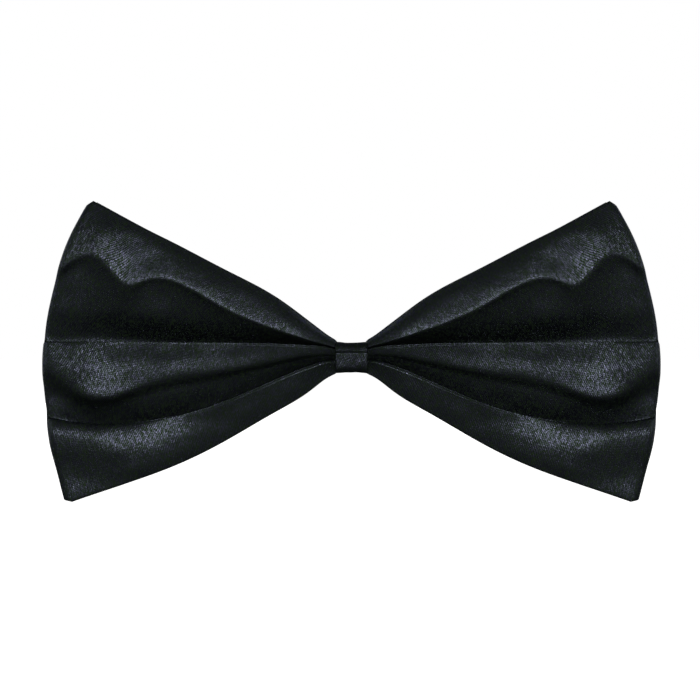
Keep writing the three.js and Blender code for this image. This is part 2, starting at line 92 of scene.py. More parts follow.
# The lines that the front panel's cloth follows, from the top edge down to the bottom edge:
# name, rows of mesh down to the next line, heights above the waist and depths in front of it at COLUMNS.
FRONT_LINES = (
    ("top_edge", 6, (4.4, 6.6, 12.1, 17.9, 24.5, 26.6, 29.1, 32.8),
     (1.9, 2.8, 4.2, 5.1, 5.7, 5.7, 5.4, 4.7)),
    ("upper_shoulder", 7, (3.9, 5.9, 10.7, 16.2, 22.5, 24.6, 27, 30.4),
     (3, 4.4, 5.9, 6.7, 6.9, 6.8, 6.6, 5.9)),
    ("upper_crest", 8, (3.3, 4.9, 8.7, 13.9, 19.6, 20, 24, 25),
     (3.6, 5.3, 6.9, 7.8, 8, 8, 7.9, 7.2)),
    ("upper_lip", 5, (2.7, 3.7, 6.4, 11.6, 16.5, 15.8, 21, 19.6),
     (3.9, 5.6, 7.3, 8.4, 8.8, 8.8, 8.3, 7.7)),
    ("under_lip", 7, (2.5, 3.3, 5.6, 10.4, 14.9, 13.8, 18.6, 16.8),
     (3.4, 4.7, 6.3, 7.4, 7.8, 7.7, 7.1, 5.9)),
    ("valley_slope", 8, (2.35, 2.9, 4, 6, 8.6, 9.3, 10.3, 9.6),
     (2.1, 2.5, 3.1, 4, 4.6, 4.6, 4, 2.9)),
    ("valley_foot", 4, (2.1, 2.4, 2.8, 3.1, 3.4, 3.45, 3.5, 3.6),
     (1.2, 1.2, 1.1, 0.9, 0.6, 0.5, 0.4, 0.4)),
    ("tuck", 5, (1.8, 1.9, 2, 2.2, 2.4, 2.4, 2.5, 2.9),
     (0.9, 0.9, 0.8, 0.6, 0.5, 0.5, 0.5, 0.5)),
    ("pleat_edge", 7, (2.2, 2.6, 3, 3.15, 3.27, 3.32, 3.36, 3.4),
     (3.2, 4.3, 5.8, 7.2, 8, 7.7, 6.8, 5.7)),
    ("mid_crest", 7, (1.4, 1.5, 1.2, 0.4, -1.02, -1.57, -1.4, 0.6),
     (2.9, 3.9, 5.2, 6.3, 7, 7.1, 7, 6.3)),
    ("mid_lip", 5, (0.7, 0.5, -1, -3.2, -6.3, -7.9, -7.5, -2.6),
     (2.5, 3.3, 4.5, 5.3, 6.2, 7, 7.1, 5.7)),
    ("mid_valley", 4, (0.3, -0.1, -2.1, -4.9, -8.1, -9.6, -9.8, -7),
     (1.9, 2.3, 2.9, 3.4, 4, 4.1, 3.8, 2.5)),
    ("thin_ridge", 5, (-0.1, -0.6, -2.9, -6.2, -9.4, -10.6, -11, -9.8),
     (1.6, 1.9, 2.3, 2.7, 3.1, 2.9, 2.4, 1.6)),
    ("deep_valley", 6, (-1, -2.05, -5.7, -10.8, -13.9, -14.5, -14.3, -12.9),
     (0.8, 0.7, 0.6, 0.4, 0.3, 0.4, 0.6, 1)),
    ("lower_lip", 8, (-0.8, -1.75, -5.3, -10.3, -13.6, -14, -13.8, -12.9),
     (2.2, 2.8, 3.6, 4.2, 3.9, 3.7, 3.4, 2.8)),
    ("lower_crest", 8, (-1.55, -3.1, -7.6, -13.3, -17.9, -17.9, -17.1, -16.3),
     (1.75, 2.15, 2.65, 3.25, 4.7, 5, 5, 4.3)),
    ("lower_skirt", 7, (-3.1, -5.3, -10.2, -16.5, -22, -23.1, -24, -24.8),
     (0.85, 1.05, 1.35, 2.05, 3.6, 3.6, 3.1, 2.4)),
    ("bottom_edge", 0, (-4.2, -6.7, -11.6, -18.2, -24.5, -26.1, -27.8, -30.3),
     (0.4, 0.4, 0.55, 1.15, 2.2, 2.2, 2, 1.8)),
)

# Small pushes on the front panel: name, x, z, spread along x, spread along z, lift towards the viewer.
FRONT_DENTS = (
    ("end_hollow", 60.4, -7.0, 3.0, 2.4, -0.7),
    ("shoulder_glint", 46.5, 26.0, 5.0, 1.8, 0.2),
)

# Soft unevenness of each panel: height, seed of its directions, and size, in turn.
FRONT_UNEVENNESS = ((0.16, 11, 17.0), (0.05, 12, 5.0))
BACK_UNEVENNESS = ((0.2, 21, 15.0),)

# Depth of the back panel behind the waist at COLUMNS, and how deep its pleats are there.
BACK_DEPTHS = (1.1, 1.3, 1.3, 1.35, 1.5, 1.8, 4.2, 5.0, 5.2, 2.6)
BACK_PLEATS = (0.3, 0.4, 0.5, 0.6, 0.55, 0.35, 0.5, 0.4, 0.25, 0.0)

# How far the pleats' sections keep from swinging past their lines: 0 is the softest, 1 the crispest.
HELD = 0.9

# The cloth thins to this under the knot, from the second to the first of these distances from the middle.
GATHERED_THICKNESS = 0.3 * MM
THINNING_ENDS = (3 * MM, 9 * MM)

# The interlining: its thickness, how deep it lies as a share of the cloth's, the rows of the cloth
# that it leaves free at each long edge, and how far it keeps behind the front's foremost cloth.
STIFFENER_THICKNESS = 0.06 * MM
STIFFENER_DEPTH = 0.7
STIFFENER_SHORT_BY = 2
STIFFENER_MARGIN = 0.12 * MM

# The knot's strip: the turned-in edge with its ply, one ply, how far its second turn stands off the first,
# and the room that the wrap's box keeps for that turn. The cross fold lies at this share of its height.
KNOT_WALL, KNOT_PLY, KNOT_LAP, KNOT_LAP_ROOM = 0.34 * MM, 0.15 * MM, 0.4 * MM, 0.42 * MM
KNOT_FOLD = 0.67


def length_property(name, description, default):
    return bpy.props.FloatProperty(name=name, description=description, default=default,
                                   subtype="DISTANCE", unit="LENGTH")


def colour_property(name, description, default):
    return bpy.props.FloatVectorProperty(name=name, description=description, default=default,
                                         size=3, subtype="COLOR", min=0, max=1)


class BowSizes(bpy.types.PropertyGroup):
    reach: length_property(
        "Reach", "From the middle to the widest point of a wing", BOW_HIGH.x)
    top_corner_inset: length_property(
        "Top corner inset", "How far the top corner lies inside the widest point", 9.6 * MM)
    bottom_corner_inset: length_property(
        "Bottom corner inset", "How far the bottom corner lies inside the widest point", 4.5 * MM)
    belly_height: length_property(
        "Belly height", "Height of the widest point above the middle of the knot", -1.7 * MM)
    fold_reach: length_property(
        "End fold reach", "How far the fold at a wing's end stands out past its panels", 1.8 * MM)
    cloth_thickness: length_property(
        "Cloth thickness", "Thickness of the satin tube with its interlining", 0.62 * MM)
    panel_stations: bpy.props.IntProperty(
        name="Stations", description="Mesh stations from the waist to a wing's end", default=92, min=20)
    fold_stations: bpy.props.IntProperty(
        name="Fold stations", description="Mesh stations round the fold at a wing's end", default=12, min=4)


class SatinFinish(bpy.types.PropertyGroup):
    float_colour: colour_property(
        "Float colour", "Colour of the light that the brightest floats throw back", (0.09, 0.092, 0.142))
    ground_colour: colour_property(
        "Ground colour", "Colour of the dull green-black ground between the floats", (0.022, 0.041, 0.011))
    roughness: bpy.props.FloatProperty(
        name="Roughness", description="How widely the floats spread a highlight", default=0.44, min=0, max=1)
    weave_period: length_property(
        "Weave period", "Distance between the weave's diagonal lines", 0.46 * MM)
    float_height: length_property(
        "Float height", "How far the floats stand above the ground weave", 0.05 * MM)


class ClipFinish(bpy.types.PropertyGroup):
    colour: colour_property(
        "Colour", "Colour of the nickel plating", (0.62, 0.6, 0.57))
    edge_bevel: length_property(
        "Edge bevel", "Rounding of the pressed sheet's edges", 0.11 * MM)


class StageSettings(bpy.types.PropertyGroup):
    camera_distance: length_property(
        "Camera distance", "From the camera to the knot", 0.41)
    key_power: bpy.props.FloatProperty(
        name="Key power", description="Power of the softbox in front of the bow", default=1.4, min=0)
    fill_power: bpy.props.FloatProperty(
        name="Fill power", description="Power of the softboxes behind the bow", default=1.0, min=0)


# --------------------------------------
# Curves and meshes


def spline(knots, values, at):
    """Natural cubic spline through values at knots, worked out at the given places."""
    knots, values, at = (np.asarray(given, float) for given in (knots, values, at))
    n = len(knots)
    step = np.diff(knots)
    rows = np.zeros((n, n))
    right = np.zeros((n,) + values.shape[1:])
    rows[0, 0] = rows[-1, -1] = 1
    slope = np.diff(values, axis=0) / step.reshape((-1,) + (1,) * (values.ndim - 1))
    for i in range(1, n - 1):
        rows[i, i - 1], rows[i, i + 1] = step[i - 1], step[i]
        rows[i, i] = 2 * (step[i - 1] + step[i])
        right[i] = 6 * (slope[i] - slope[i - 1])
    bend = np.linalg.solve(rows, right.reshape(n, -1)).reshape(right.shape)
    i = np.clip(np.searchsorted(knots, at, side="right") - 1, 0, n - 2)
    shape = (-1,) + (1,) * (values.ndim - 1)
    h = step[i].reshape(shape)
    a = (knots[i + 1].reshape(shape) - at.reshape(shape)) / h
    b = 1 - a
    curve = ((a ** 3 - a) * bend[i] + (b ** 3 - b) * bend[i + 1]) * h * h / 6
    return a * values[i] + b * values[i + 1] + curve


def held_curve(knots, values, at):
    """Smooth curve through values at knots that never swings past them, worked out at the given places."""
    step = np.diff(knots)[:, None]
    slope = np.diff(values, axis=0) / step
    same_way = slope[:-1] * slope[1:] > 0
    total = np.where(same_way, slope[:-1] + slope[1:], 1)
    inner = np.where(same_way, 2 * slope[:-1] * slope[1:] / total, 0)
    tangent = np.concatenate([slope[:1], inner, slope[-1:]])
    i = np.clip(np.searchsorted(knots, at, side="right") - 1, 0, len(knots) - 2)
    t = ((at - knots[i]) / step[i, 0])[:, None]
    start, end = values[i], values[i + 1]
    leave, arrive = tangent[i] * step[i], tangent[i + 1] * step[i]
    square, cube = t ** 2, t ** 3
    return (start * (2 * cube - 3 * square + 1) + leave * (cube - 2 * square + t)
            + end * (3 * square - 2 * cube) + arrive * (cube - square))


def unit(vectors):
    return vectors / np.linalg.norm(vectors, axis=-1, keepdims=True)


def running(steps):
    return np.concatenate([[0], np.cumsum(steps)])


def smoothstep(low, high, x):
    t = np.clip((np.asarray(x, float) - low) / (high - low), 0, 1)
    return t * t * (3 - 2 * t)


def bumps(x, z, seed, size, count=7):
    """Soft unevenness between -1 and 1: a sum of a few plane waves with fixed directions."""
    random = np.random.default_rng(seed)
    total = np.zeros_like(x)
    for _ in range(count):
        angle, phase = random.uniform(0, 2 * math.pi, 2)
        length = size * random.uniform(0.7, 1.5)
        total += np.sin(2 * math.pi * (x * math.cos(angle) + z * math.sin(angle)) / length + phase)
    return total / math.sqrt(count)


def unevenness(x, z, parts):
    return sum(height * bumps(x, z, seed, size) for height, seed, size in parts)


def grid_normals(points):
    """Unit normals of a grid of points, one for each."""
    along = np.gradient(points, axis=0)
    across = np.gradient(points, axis=1)
    normals = np.cross(along, across)
    lengths = np.linalg.norm(normals, axis=2, keepdims=True)
    return normals / np.maximum(lengths, 1e-12)


def mesh_from_grid(name, points, closed_across, uv=None, caps=False):
    """A mesh over a grid of points: stations by rows, closed round the rows if asked, with flat end caps."""
    stations, rows = points.shape[:2]
    verts = points.reshape(-1, 3)
    columns = rows if closed_across else rows - 1
    i, j = np.meshgrid(np.arange(stations - 1), np.arange(columns), indexing="ij")
    k = (j + 1) % rows
    quads = np.stack([i * rows + j, (i + 1) * rows + j, (i + 1) * rows + k, i * rows + k], -1).reshape(-1, 4)
    faces = [tuple(q) for q in quads.tolist()]
    if caps:
        faces.append(tuple(range(rows)))
        faces.append(tuple(range(len(verts) - 1, len(verts) - rows - 1, -1)))
    mesh = bpy.data.meshes.new(name)
    mesh.from_pydata(verts.tolist(), [], faces)
    if uv is not None:
        layer = mesh.uv_layers.new(name="cloth")
        index = np.zeros(len(mesh.loops), int)
        mesh.loops.foreach_get("vertex_index", index)
        layer.data.foreach_set("uv", uv.reshape(-1, 2)[index].astype(np.float32).ravel())
    mesh.update()
    mesh.validate()
    return mesh


def place_object(name, data):
    obj = bpy.data.objects.new(name, data)
    bpy.context.scene.collection.objects.link(obj)
    return obj


def add_object(name, mesh, material, smooth=True):
    obj = place_object(name, mesh)
    mesh.materials.append(material)
    mesh.shade_smooth() if smooth else mesh.shade_flat()
    return obj


def face_outwards(mesh):
    """Turns every face of a closed mesh outwards, going by the sign of its volume."""
    mesh.calc_loop_triangles()
    corners = np.zeros(len(mesh.loop_triangles) * 3, int)
    mesh.loop_triangles.foreach_get("vertices", corners)
    co = np.zeros(len(mesh.vertices) * 3)
    mesh.vertices.foreach_get("co", co)
    a, b, c = (co.reshape(-1, 3)[corners.reshape(-1, 3)[:, k]] for k in range(3))
    if np.einsum("ij,ij->i", a, np.cross(b, c)).sum() < 0:
        mesh.flip_normals()


def finish_piece(obj, body, slot, *nodes):
    """Say which body carries a piece and hide the CAD nodes whose place it takes; the slot is not used."""
    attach(obj, body)
    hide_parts(*nodes)


# --------------------------------------
# Materials


class NodeTree:
    """Short way to place and join shader nodes."""

    def __init__(self, tree):
        self.tree = tree

    def add(self, kind, inputs=None, **settings):
        node = self.tree.nodes.new(kind)
        for name, value in settings.items():
            setattr(node, name, value)
        self.feed(node, inputs or {})
        return node

    def feed(self, node, inputs):
        """Join sockets to a node's inputs, or set them to plain values."""
        for key, value in inputs.items():
            socket = node.inputs[key]
            if isinstance(value, bpy.types.NodeSocket):
                self.tree.links.new(value, socket)
            else:
                socket.default_value = value

    def math(self, operation, a, b=0.0, c=0.0):
        return self.add("ShaderNodeMath", {0: a, 1: b, 2: c}, operation=operation).outputs[0]

    def remap(self, value, low, high, new_low, new_high):
        return self.add("ShaderNodeMapRange", {0: value, 1: low, 2: high, 3: new_low, 4: new_high}).outputs[0]

    def vector(self, operation, a, b):
        return self.add("ShaderNodeVectorMath", {0: a, 1: b}, operation=operation).outputs[0]

    def noise(self, place, scale, detail):
        node = self.add("ShaderNodeTexNoise", {"Vector": place, "Scale": scale, "Detail": detail})
        return node.outputs["Fac"]

    def relief(self, height, strength, distance):
        return self.add("ShaderNodeBump",
                        {"Height": height, "Strength": strength, "Distance": distance}).outputs[0]


def new_group(name, inputs, outputs):
    """An empty shader node group with float or vector inputs and float outputs."""
    group = bpy.data.node_groups.new(name, "ShaderNodeTree")
    for label, kind, default in inputs:
        socket = group.interface.new_socket(label, in_out="INPUT", socket_type=kind)
        if default is not None:
            socket.default_value = default
    for label in outputs:
        group.interface.new_socket(label, in_out="OUTPUT", socket_type="NodeSocketFloat")
    n = NodeTree(group)
    return group, n, n.add("NodeGroupInput").outputs, n.add("NodeGroupOutput")


def satin_weave_group():
    """Diagonal float lines, single floats that catch the light, and slow unevenness of the dye."""
    name = "satin_weave"
    if name in bpy.data.node_groups:
        return bpy.data.node_groups[name]
    group, n, given, out = new_group(
        name,
        [("Vector", "NodeSocketVector", None), ("Period", "NodeSocketFloat", 0.00046),
         ("Slant", "NodeSocketFloat", 0.57), ("Slub", "NodeSocketFloat", 0.35),
         ("Sparkle tilt", "NodeSocketFloat", 1.2)],
        ["Height", "Sparkle", "Cloud"])
    scale = n.math("DIVIDE", 1.0, given["Period"])
    scaled = n.add("ShaderNodeVectorMath", {0: given["Vector"], "Scale": scale}, operation="SCALE").outputs[0]

    # Diagonal lines that wander a little, and finer ribs against them.
    wander = n.noise(scaled, 0.13, 2.0)
    parts = n.add("ShaderNodeSeparateXYZ", {0: scaled}).outputs
    across = n.math("MULTIPLY", parts[1], given["Slant"])
    line = n.math("ADD", n.math("ADD", parts[0], across), n.math("MULTIPLY", wander, given["Slub"]))
    wave = n.math("SINE", n.math("MULTIPLY", line, 2 * math.pi))
    against = n.math("SUBTRACT", parts[1], n.math("MULTIPLY", parts[0], 0.2))
    floats = n.math("SINE", n.math("MULTIPLY", against, 2 * math.pi * 1.3))

    # One cell for each float, leaning its own way.
    cells = n.vector("MULTIPLY", scaled, (1.9, 1.0, 1.0))
    floats_laid = n.add("ShaderNodeTexVoronoi", {"Vector": cells, "Scale": 1.0}, voronoi_dimensions="2D")
    from_centre = n.vector("SUBTRACT", cells, floats_laid.outputs["Position"])
    lean = n.vector("SUBTRACT", floats_laid.outputs["Color"], (0.5, 0.5, 0.5))
    tilt = n.add("ShaderNodeVectorMath", {0: from_centre, 1: lean}, operation="DOT_PRODUCT").outputs["Value"]
    ribs = n.math("ADD", n.math("MULTIPLY", wave, 0.2), n.math("MULTIPLY", floats, 0.1))
    height = n.math("ADD", ribs, n.math("MULTIPLY", tilt, given["Sparkle tilt"]))

    # How strongly each float catches the light, and the dye's slow unevenness.
    single = n.add("ShaderNodeSeparateColor", {0: floats_laid.outputs["Color"]}).outputs[2]
    in_line = n.math("MULTIPLY_ADD", wave, 0.16, 0.16)
    speck = n.math("MULTIPLY_ADD", single, 0.68, in_line)
    cloud = n.noise(scaled, 0.035, 3.0)
    n.feed(out, {"Height": height, "Sparkle": speck, "Cloud": cloud})
    return group


def worn_plating_group():
    """Fine drawn lines and handling marks of plated sheet metal."""
    name = "worn_plating"
    if name in bpy.data.node_groups:
        return bpy.data.node_groups[name]
    group, n, given, out = new_group(
        name, [("Vector", "NodeSocketVector", None), ("Line scale", "NodeSocketFloat", 9000.0)],
        ["Lines", "Marks"])
    stretched = n.add("ShaderNodeMapping", {"Vector": given["Vector"], "Scale": (0.06, 1.0, 1.0)}).outputs[0]
    lines = n.noise(stretched, given["Line scale"], 2.0)
    marks = n.noise(given["Vector"], 420.0, 5.0)
    n.feed(out, {"Lines": lines, "Marks": marks})
    return group


def new_material(name):
    material = bpy.data.materials.new(name)
    material.use_nodes = True
    return material, NodeTree(material.node_tree), material.node_tree.nodes["Principled BSDF"]


def satin_material(name, finish, painted_shade=1.0):
    """Satin: its floats throw light back in their own dark colour, over a little dull ground."""
    material, n, shader = new_material(name)
    uv = n.add("ShaderNodeUVMap", uv_map="cloth").outputs[0]
    weave = n.add("ShaderNodeGroup", {"Vector": uv, "Period": finish.weave_period},
                  node_tree=satin_weave_group())
    colour = n.add("ShaderNodeValToRGB", {"Fac": weave.outputs["Sparkle"]})
    dull, bright = colour.color_ramp.elements
    dull.position, bright.position = 0.08, 0.92
    # painted_shade scales both colours down: painted shade that gives a darker copy of the same satin to a
    # piece whose face catches more of the front light
    dull.color = tuple(painted_shade * c for c in finish.ground_colour) + (1,)
    bright.color = tuple(painted_shade * c for c in finish.float_colour) + (1,)
    spread = n.remap(weave.outputs["Sparkle"], 0.0, 1.0, finish.roughness + 0.08, finish.roughness - 0.08)
    cloud = n.remap(weave.outputs["Cloud"], 0.3, 0.7, -0.03, 0.03)
    raised = n.relief(weave.outputs["Height"], 1.0, finish.float_height)
    n.feed(shader, {
        "Base Color": colour.outputs[0], "Roughness": n.math("ADD", spread, cloud), "Normal": raised,
        "Metallic": n.remap(weave.outputs["Sparkle"], 0.1, 0.5, 0.3, 1.0),
        "Specular IOR Level": 0.25, "Specular Tint": (0.3, 0.3, 0.3, 1)})
    return material


def fibre_material(name, scale, detail, colours, roughness, relief, height):
    """Dull fibres: one fine noise sets their colour, roughness and relief."""
    material, n, shader = new_material(name)
    place = n.add("ShaderNodeTexCoord").outputs["Object"]
    fibre = n.noise(place, scale, detail)
    colour = n.add("ShaderNodeValToRGB", {"Fac": fibre})
    for element, value in zip(colour.color_ramp.elements, colours):
        element.color = value + (1,)
    n.feed(shader, {"Base Color": colour.outputs[0], "Roughness": n.remap(fibre, 0.3, 0.7, *roughness),
                    "Normal": n.relief(fibre, relief, height)})
    return material


def thread_material():
    return fibre_material("black_thread", 9000.0, 3.0, ((0.004, 0.004, 0.005), (0.016, 0.016, 0.02)),
                          roughness=(0.45, 0.65), relief=0.5, height=0.04 * MM)


def interlining_material():
    return fibre_material("nonwoven_interlining", 2600.0, 6.0, ((0.005, 0.006, 0.005), (0.02, 0.022, 0.022)),
                          roughness=(0.8, 0.95), relief=0.6, height=0.08 * MM)


def plated_material(name, colour, base_roughness, line_scale):
    """Plated metal with fine drawn lines and duller marks where it has been handled."""
    material, n, shader = new_material(name)
    place = n.add("ShaderNodeTexCoord").outputs["Object"]
    wear = n.add("ShaderNodeGroup", {"Vector": place, "Line scale": line_scale},
                 node_tree=worn_plating_group())
    lines = n.remap(wear.outputs["Lines"], 0.3, 0.7, -0.05, 0.05)
    marks = n.remap(wear.outputs["Marks"], 0.42, 0.72, 0.0, 0.07)
    rough = n.math("ADD", n.math("ADD", lines, marks), base_roughness)
    tint = n.add("ShaderNodeValToRGB", {"Fac": wear.outputs["Marks"]})
    for element, position, share in zip(tint.color_ramp.elements, (0.35, 0.75), (1, 0.88)):
        element.position = position
        element.color = tuple(share * c for c in colour) + (1,)
    n.feed(shader, {"Base Color": tint.outputs[0], "Roughness": rough, "Metallic": 1.0,
                    "Normal": n.relief(wear.outputs["Lines"], 0.05, 0.02 * MM)})
    return material


# --------------------------------------
# The bow


def smoothed_rows(points, width=15):
    """Running average of a row of points over width neighbours each way; both ends stay where they are."""
    padded = np.pad(points, ((width, width), (0, 0)), mode="reflect", reflect_type="odd")
    window = np.full(2 * width + 1, 1 / (2 * width + 1))
    return np.stack([np.convolve(column, window, "valid") for column in padded.T], -1)


class BowShape:
    """Surface of the satin loop, station by station round the loop and row by row from top to bottom.

    The shape is worked out in millimetres, with depth counted from the waist.
    """

    START = 1.6  # first station's distance from the middle
    CROWDING = 1.12  # above 1, stations lie closer together near the waist
    SQUEEZE = 0.28  # share of the height that the thread takes away at the waist
    SQUEEZE_ENDS = (2.4, 3.4)  # distances from the middle between which that fades
    END_BOW = 1.9  # power that bends a wing's end outline between its widest point and its corners
    BACK_CROWN = 0.5  # share of the back's depth that it loses towards its long edges
    BACK_PLEAT_COUNT, PLEAT_DRIFT = 3.5, 0.35  # pleats across the back, and how unevenly they lie
    CORNER_SHARPNESS = 10  # power that keeps the end fold's rounding to its two corners
    CORNER_ROUNDING = (0.5, 0.15)  # of the upper and the lower corner, as shares of the end fold's reach
    HALF_GAP = 0.3  # from the middle to the strip's two ends, which face each other behind

    def __init__(self, sizes, stations, fold_stations):
        self.sizes = sizes
        self.s = np.linspace(0, 1, stations) ** self.CROWDING
        self.folds = fold_stations
        self.rows = [line[1] for line in FRONT_LINES[:-1]]

    def reach(self, z):
        """Widest x, in millimetres, of the row that ends at height z."""
        belly = self.sizes.belly_height / MM
        low = z < belly
        corner = np.where(low, BOW_LOW.z / MM, BOW_HIGH.z / MM)
        inset = np.where(low, self.sizes.bottom_corner_inset, self.sizes.top_corner_inset) / MM
        share = np.clip((z - belly) / (corner - belly), 0, 1)
        return self.sizes.reach / MM - inset * share ** self.END_BOW

    def rows_through(self, lines):
        """Rows of points through the (z, depth) lines of every station, spaced evenly between lines."""
        places = np.concatenate([k + np.arange(n) / n for k, n in enumerate(self.rows)] + [[len(self.rows)]])
        out = np.zeros((lines.shape[0], len(places), 2))
        for i, points in enumerate(lines):
            chords = np.sqrt(np.linalg.norm(np.diff(points, axis=0), axis=1)) + 1e-3
            knots = running(chords)
            at = np.interp(places, np.arange(len(knots)), knots)
            out[i] = HELD * held_curve(knots, points, at) + (1 - HELD) * spline(knots, points, at)
        return out

    def front(self):
        """The front panel: its rows follow FRONT_LINES, with the dents and a little soft unevenness."""
        heights = np.array([[share * line[2][0] for share in HEIGHT_SHARES] + list(line[2])
                            for line in FRONT_LINES]).T
        depths = np.array([[share * line[3][0] for share in DEPTH_SHARES] + list(line[3])
                           for line in FRONT_LINES]).T
        lines = np.stack([spline(COLUMNS, heights, self.s), spline(COLUMNS, depths, self.s)], -1)
        rows = self.rows_through(lines)
        end = self.reach(rows[-1, :, 0]) - self.sizes.fold_reach / MM
        x = self.START + self.s[:, None] * (end[None, :] - self.START)
        z = rows[..., 0] * (1 - self.SQUEEZE * (1 - smoothstep(*self.SQUEEZE_ENDS, x)))
        depth = rows[..., 1].copy()
        for _, dent_x, dent_z, wide, high, lift in FRONT_DENTS:
            depth += lift * np.exp(-((x - dent_x) / wide) ** 2 - ((z - dent_z) / high) ** 2)
        fade = smoothstep(0.05, 0.25, self.s)[:, None]
        depth += fade * unevenness(x, z, FRONT_UNEVENNESS)
        return np.stack([x, -depth, z], -1)

    def back(self, front):
        """The back panel: its rows spread evenly at the waist and meet the front's rows at the end fold."""
        top, bottom = front[:, 0, 2], front[:, -1, 2]
        at_end = (smoothed_rows(front[-1])[:, 2] - bottom[-1]) / (top[-1] - bottom[-1])
        even = np.linspace(1, 0, front.shape[1])
        mix = smoothstep(0.1, 0.95, self.s)[:, None]
        share = even[None, :] * (1 - mix) + at_end[None, :] * mix
        z = bottom[:, None] + (top - bottom)[:, None] * share
        v = 2 * share - 1
        crown = 1 - self.BACK_CROWN * v ** 2
        depth = spline(COLUMNS, BACK_DEPTHS, self.s)[:, None] * crown
        pleats = np.interp(self.s, COLUMNS, BACK_PLEATS)[:, None]
        drift = self.PLEAT_DRIFT * np.sin(2.2 * math.pi * share)
        ripple = np.sin(2 * math.pi * (self.BACK_PLEAT_COUNT * share + drift))
        depth = depth + pleats * ripple * (1 - v ** 4)
        x = front[..., 0]
        depth += smoothstep(0.4, 0.6, self.s)[:, None] * unevenness(x, z, BACK_UNEVENNESS)
        return np.stack([x, depth, z], -1)

    def right_half(self):
        """Right wing from the back's middle round the end fold to the front's middle."""
        front = self.front()
        back = self.back(front)
        end_front, end_back = front[-1], back[-1]
        edge = np.abs(np.linspace(-1, 1, front.shape[1])) ** self.CORNER_SHARPNESS
        soft = self.sizes.fold_reach / MM * np.where(end_front[:, 2] > 0, *self.CORNER_ROUNDING)
        smooth = smoothed_rows(end_front)
        fold = []
        for turn in np.linspace(0, math.pi, self.folds + 2)[1:-1]:
            share = (1 - math.cos(turn)) / 2
            pleated = smooth + (end_front - smooth) * share ** 1.5
            ring = end_back * (1 - share) + pleated * share
            ring[:, 0] += self.sizes.fold_reach / MM * math.sin(turn)
            ring[:, 2] -= np.sign(ring[:, 2]) * edge * soft * math.sin(turn)
            fold.append(ring)
        start = back[:1] * [0, 1, 1] + [self.HALF_GAP, 0, 0]
        middle = front[:1] * [0, 1, 1]
        return np.concatenate([start, back, fold, front[::-1], middle])

    def loop(self):
        """Points of the whole loop and their cloth map; the left wing is the right one's mirror image."""
        right = self.right_half()
        right[..., 1] += WAIST_Y / MM
        right = right * MM
        uv = cloth_coordinates(right)
        points = np.concatenate([right, right[:-1][::-1] * [-1, 1, 1]])
        return points, np.concatenate([uv, uv[:-1][::-1]])


def cloth_coordinates(points):
    """Length along the cloth and across it, from the middle row, in metres."""
    along = np.linalg.norm(np.diff(points, axis=0), axis=2).mean(1)
    across = np.linalg.norm(np.diff(points, axis=1), axis=2)
    u = running(along)
    v = np.concatenate([np.zeros((len(points), 1)), np.cumsum(across, axis=1)], axis=1)
    v -= v[:, points.shape[1] // 2][:, None]
    v = smoothed_rows(v, 12)
    return np.stack([np.broadcast_to(u[:, None], v.shape), v], -1)


def kept_behind(inner, points, normals, step=0.1 * MM, parts=12, reach=2):
    """The inner strip, with the front panel's kept behind the foremost cloth at each height.

    The foremost cloth is found in steps of height from that many parts of every row's span, and
    the steps within reach count too, which leaves room at the sharp folds.
    """
    held = inner.copy()
    share = np.linspace(0, 1, parts)
    for station in np.nonzero(normals[..., 1].mean(axis=1) < -0.5)[0]:
        section = points[station, :, 1:]
        between = section[:-1, None] * (1 - share[:, None]) + section[1:, None] * share[:, None]
        depth, height = between.reshape(-1, 2).T
        lowest = section[:, 1].min()
        foremost = np.full(int(np.ptp(section[:, 1]) / step) + 2, section[:, 0].max())
        np.minimum.at(foremost, ((height - lowest) / step).round().astype(int), depth)
        padded = np.pad(foremost, reach, mode="edge")
        room = np.max([padded[k:k + len(foremost)] for k in range(2 * reach + 1)], axis=0)
        cell = ((inner[station, :, 2] - lowest) / step).round().astype(int).clip(0, len(room) - 1)
        held[station, :, 1] = np.maximum(inner[station, :, 1], room[cell] + STIFFENER_MARGIN)
    return held


def thick_strip(points, uv, thickness):
    """Rings round a strip of cloth: its outer face, a rounded edge, its inner face and the other edge."""
    normals = grid_normals(points)
    half = (thickness / 2)[:, None, None]
    middle = points - normals * half
    inner = middle - normals * half
    rounds = []
    for side in (-1, 0):
        step = points[:, side] - points[:, side - 1 if side == -1 else 1]
        away = unit(step)
        for turn in (math.pi / 4, math.pi / 2, 3 * math.pi / 4):
            h = half[:, 0]
            rim = middle[:, side] + normals[:, side] * h * math.cos(turn) + away * h * math.sin(turn)
            rounds.append(rim[:, None])
    ring = np.concatenate([points] + rounds[:3] + [inner[:, ::-1]] + rounds[5:2:-1], axis=1)
    uvs = np.concatenate([uv] + [uv[:, -1:]] * 3 + [uv[:, ::-1]] + [uv[:, :1]] * 3, axis=1)
    return ring, uvs


